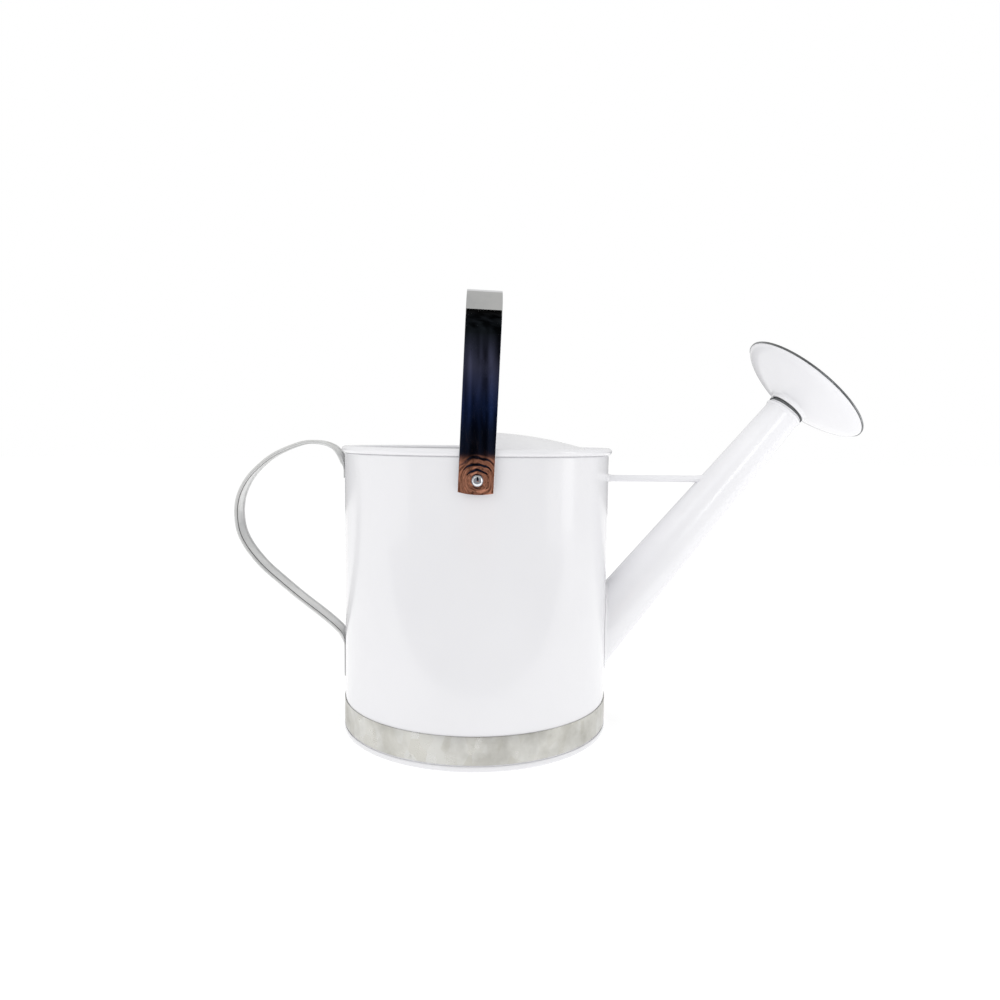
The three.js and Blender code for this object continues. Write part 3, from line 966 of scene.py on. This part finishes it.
def floor():
    size = 6000
    corners = [(-size, -size, -0.4), (size, -size, -0.4), (size, size, -0.4), (-size, size, -0.4)]
    ground = mesh_of("floor", (corners, [[0, 1, 2, 3]]))
    f = Finish("pale_floor", (0.5, 0.5, 0.5), 0.9)
    f.shader.inputs["Specular IOR Level"].default_value = 0.1
    f.colour(f.mix(f.grade(f.noise(4, 2), 0.3, 0.7, 0, 1), (0.49, 0.49, 0.49), (0.51, 0.51, 0.51)))
    f.shader.inputs["Emission Color"].default_value = (1, 1, 1, 1)
    f.shader.inputs["Emission Strength"].default_value = 0.65
    ground.data.materials.append(f.material)


def card(name, corners, material):
    """A studio card that only shows in reflections."""
    thing = mesh_of(name, (corners, [[0, 1, 2, 3]]))
    thing.data.materials.append(material)
    thing.visible_camera = False
    thing.visible_diffuse = False
    thing.visible_shadow = False


def upright(half_width, middle, y, low, high):
    left, right = middle - half_width, middle + half_width
    return [(left, y, low), (right, y, low), (right, y, high), (left, y, high)]


def flat(half_width, z, near, far):
    left, right = -half_width, half_width
    return [(left, near, z), (right, near, z), (right, far, z), (left, far, z)]


def dark_studio():
    """The unlit side of the studio in front of the can: black above, navy, warm wood below."""
    material = emitter("dark_studio", (0, 0, 0), 1)
    tree = material.node_tree
    where = tree.nodes.new("ShaderNodeTexCoord")
    parts = tree.nodes.new("ShaderNodeSeparateXYZ")
    ramp = tree.nodes.new("ShaderNodeValToRGB")
    tree.links.new(where.outputs["Object"], parts.inputs["Vector"])
    tree.links.new(parts.outputs["Z"], ramp.inputs["Fac"])
    stops = [
        (0.0, (0.27, 0.13, 0.085)),
        (0.175, (0.18, 0.075, 0.045)),
        (0.187, (0.003, 0.004, 0.008)),
        (0.215, (0.003, 0.005, 0.012)),
        (0.25, (0.006, 0.012, 0.04)),
        (0.3, (0.02, 0.021, 0.036)),
        (0.345, (0.004, 0.005, 0.006)),
        (1.0, (0.002, 0.002, 0.002)),
    ]
    points = ramp.color_ramp.elements
    while len(points) < len(stops):
        points.new(0.5)
    for point, (at, colour) in zip(points, stops):
        point.position = at
        point.color = (*colour, 1)

    # Upright streaks, as of curtains.
    stretch = tree.nodes.new("ShaderNodeMapping")
    stretch.inputs["Scale"].default_value = (90, 1, 6)
    streaks = tree.nodes.new("ShaderNodeTexNoise")
    streaks.inputs["Scale"].default_value = 1
    streaks.inputs["Detail"].default_value = 3
    strength = tree.nodes.new("ShaderNodeMapRange")
    for key, number in (("From Min", 0.38), ("From Max", 0.7), ("To Min", 0.3), ("To Max", 3.6)):
        strength.inputs[key].default_value = number
    tree.links.new(where.outputs["Object"], stretch.inputs["Vector"])
    tree.links.new(stretch.outputs["Vector"], streaks.inputs["Vector"])
    tree.links.new(streaks.outputs["Fac"], strength.inputs["Value"])
    tree.links.new(ramp.outputs["Color"], tree.nodes["Emission"].inputs["Color"])
    tree.links.new(strength.outputs["Result"], tree.nodes["Emission"].inputs["Strength"])
    card("dark_studio", upright(140, 20, -640, 60, 1300), material)


def lamp(name, place, aim, width, height, power, spread=180):
    data = bpy.data.lights.new(name, "AREA")
    data.spread = math.radians(spread)
    data.shape = "RECTANGLE"
    data.size, data.size_y = width, height
    data.energy = power
    thing = bpy.data.objects.new(name, data)
    thing.location = place
    thing.rotation_euler = (Vector(aim) - Vector(place)).to_track_quat("-Z", "Y").to_euler()
    bpy.context.scene.collection.objects.link(thing)
    thing.visible_camera = False
    return thing


def studio():
    world = bpy.data.worlds.new("studio")
    world.use_nodes = True
    tree = world.node_tree
    sky = tree.nodes["Background"]
    sky.inputs["Color"].default_value = (1, 1, 1, 1)
    # The backdrop shows as pure white, and lights the can a little more softly.
    path = tree.nodes.new("ShaderNodeLightPath")
    level = tree.nodes.new("ShaderNodeMapRange")
    level.inputs["To Min"].default_value = 0.74
    level.inputs["To Max"].default_value = 1.0
    tree.links.new(path.outputs["Is Camera Ray"], level.inputs["Value"])
    tree.links.new(level.outputs["Result"], sky.inputs["Strength"])
    bpy.context.scene.world = world

    # What glossy surfaces see: a dim room in front of the table, a grey ceiling, a grey backdrop.
    room = emitter("dim_room", (0.27, 0.28, 0.3), 1)
    card("room", upright(1000, 20, -660, 0, 900), room)
    card("room_floor", flat(1000, 0.6, -655, -235), room)
    card("ceiling", flat(2400, 1310, -900, 1100), emitter("ceiling", (0.5, 0.5, 0.48), 1))
    card("backdrop", upright(2400, 0, 1500, 0, 280), emitter("backdrop", (0.4, 0.4, 0.41), 1))
    middle = (0, 0, 0.12)
    lamp("key", (-0.9, -0.9, 0.9), middle, 0.6, 0.9, 1.9)
    lamp("side", (1.3, -0.25, 0.3), middle, 0.3, 1.2, 1.6)
    lamp("spout", (0.35, -1, 0.4), (0.25, 0, 0.2), 0.12, 0.3, 0.036, 22)
    lamp("top", (0, 0, 1.5), middle, 0.6, 0.6, 3.8).visible_glossy = False
    bpy.context.scene.view_settings.view_transform = "Standard"


def camera():
    """Eye level just above the lip, square on to the side of the can."""
    data = bpy.data.cameras.new("camera")
    data.sensor_width = 36
    data.lens = 27.88
    data.clip_start = 0.01
    thing = bpy.data.objects.new("camera", data)
    bpy.context.scene.collection.objects.link(thing)
    turn, tilt, roll = math.radians(2.05), math.radians(4.64), math.radians(0.66)
    ahead = Vector(
        (math.sin(turn) * math.cos(tilt), math.cos(turn) * math.cos(tilt), -math.sin(tilt))
    )
    right = Vector((math.cos(turn), -math.sin(turn), 0))
    up = right.cross(ahead)
    side = right * math.cos(roll) + up * math.sin(roll)
    top = up * math.cos(roll) - right * math.sin(roll)
    matrix = Matrix((side, top, -ahead)).transposed().to_4x4()
    matrix.translation = Vector((-3.4, -566.7, 210.4)) * MM
    thing.matrix_world = matrix
    bpy.context.scene.camera = thing


floor()
dark_studio()
studio()
camera()
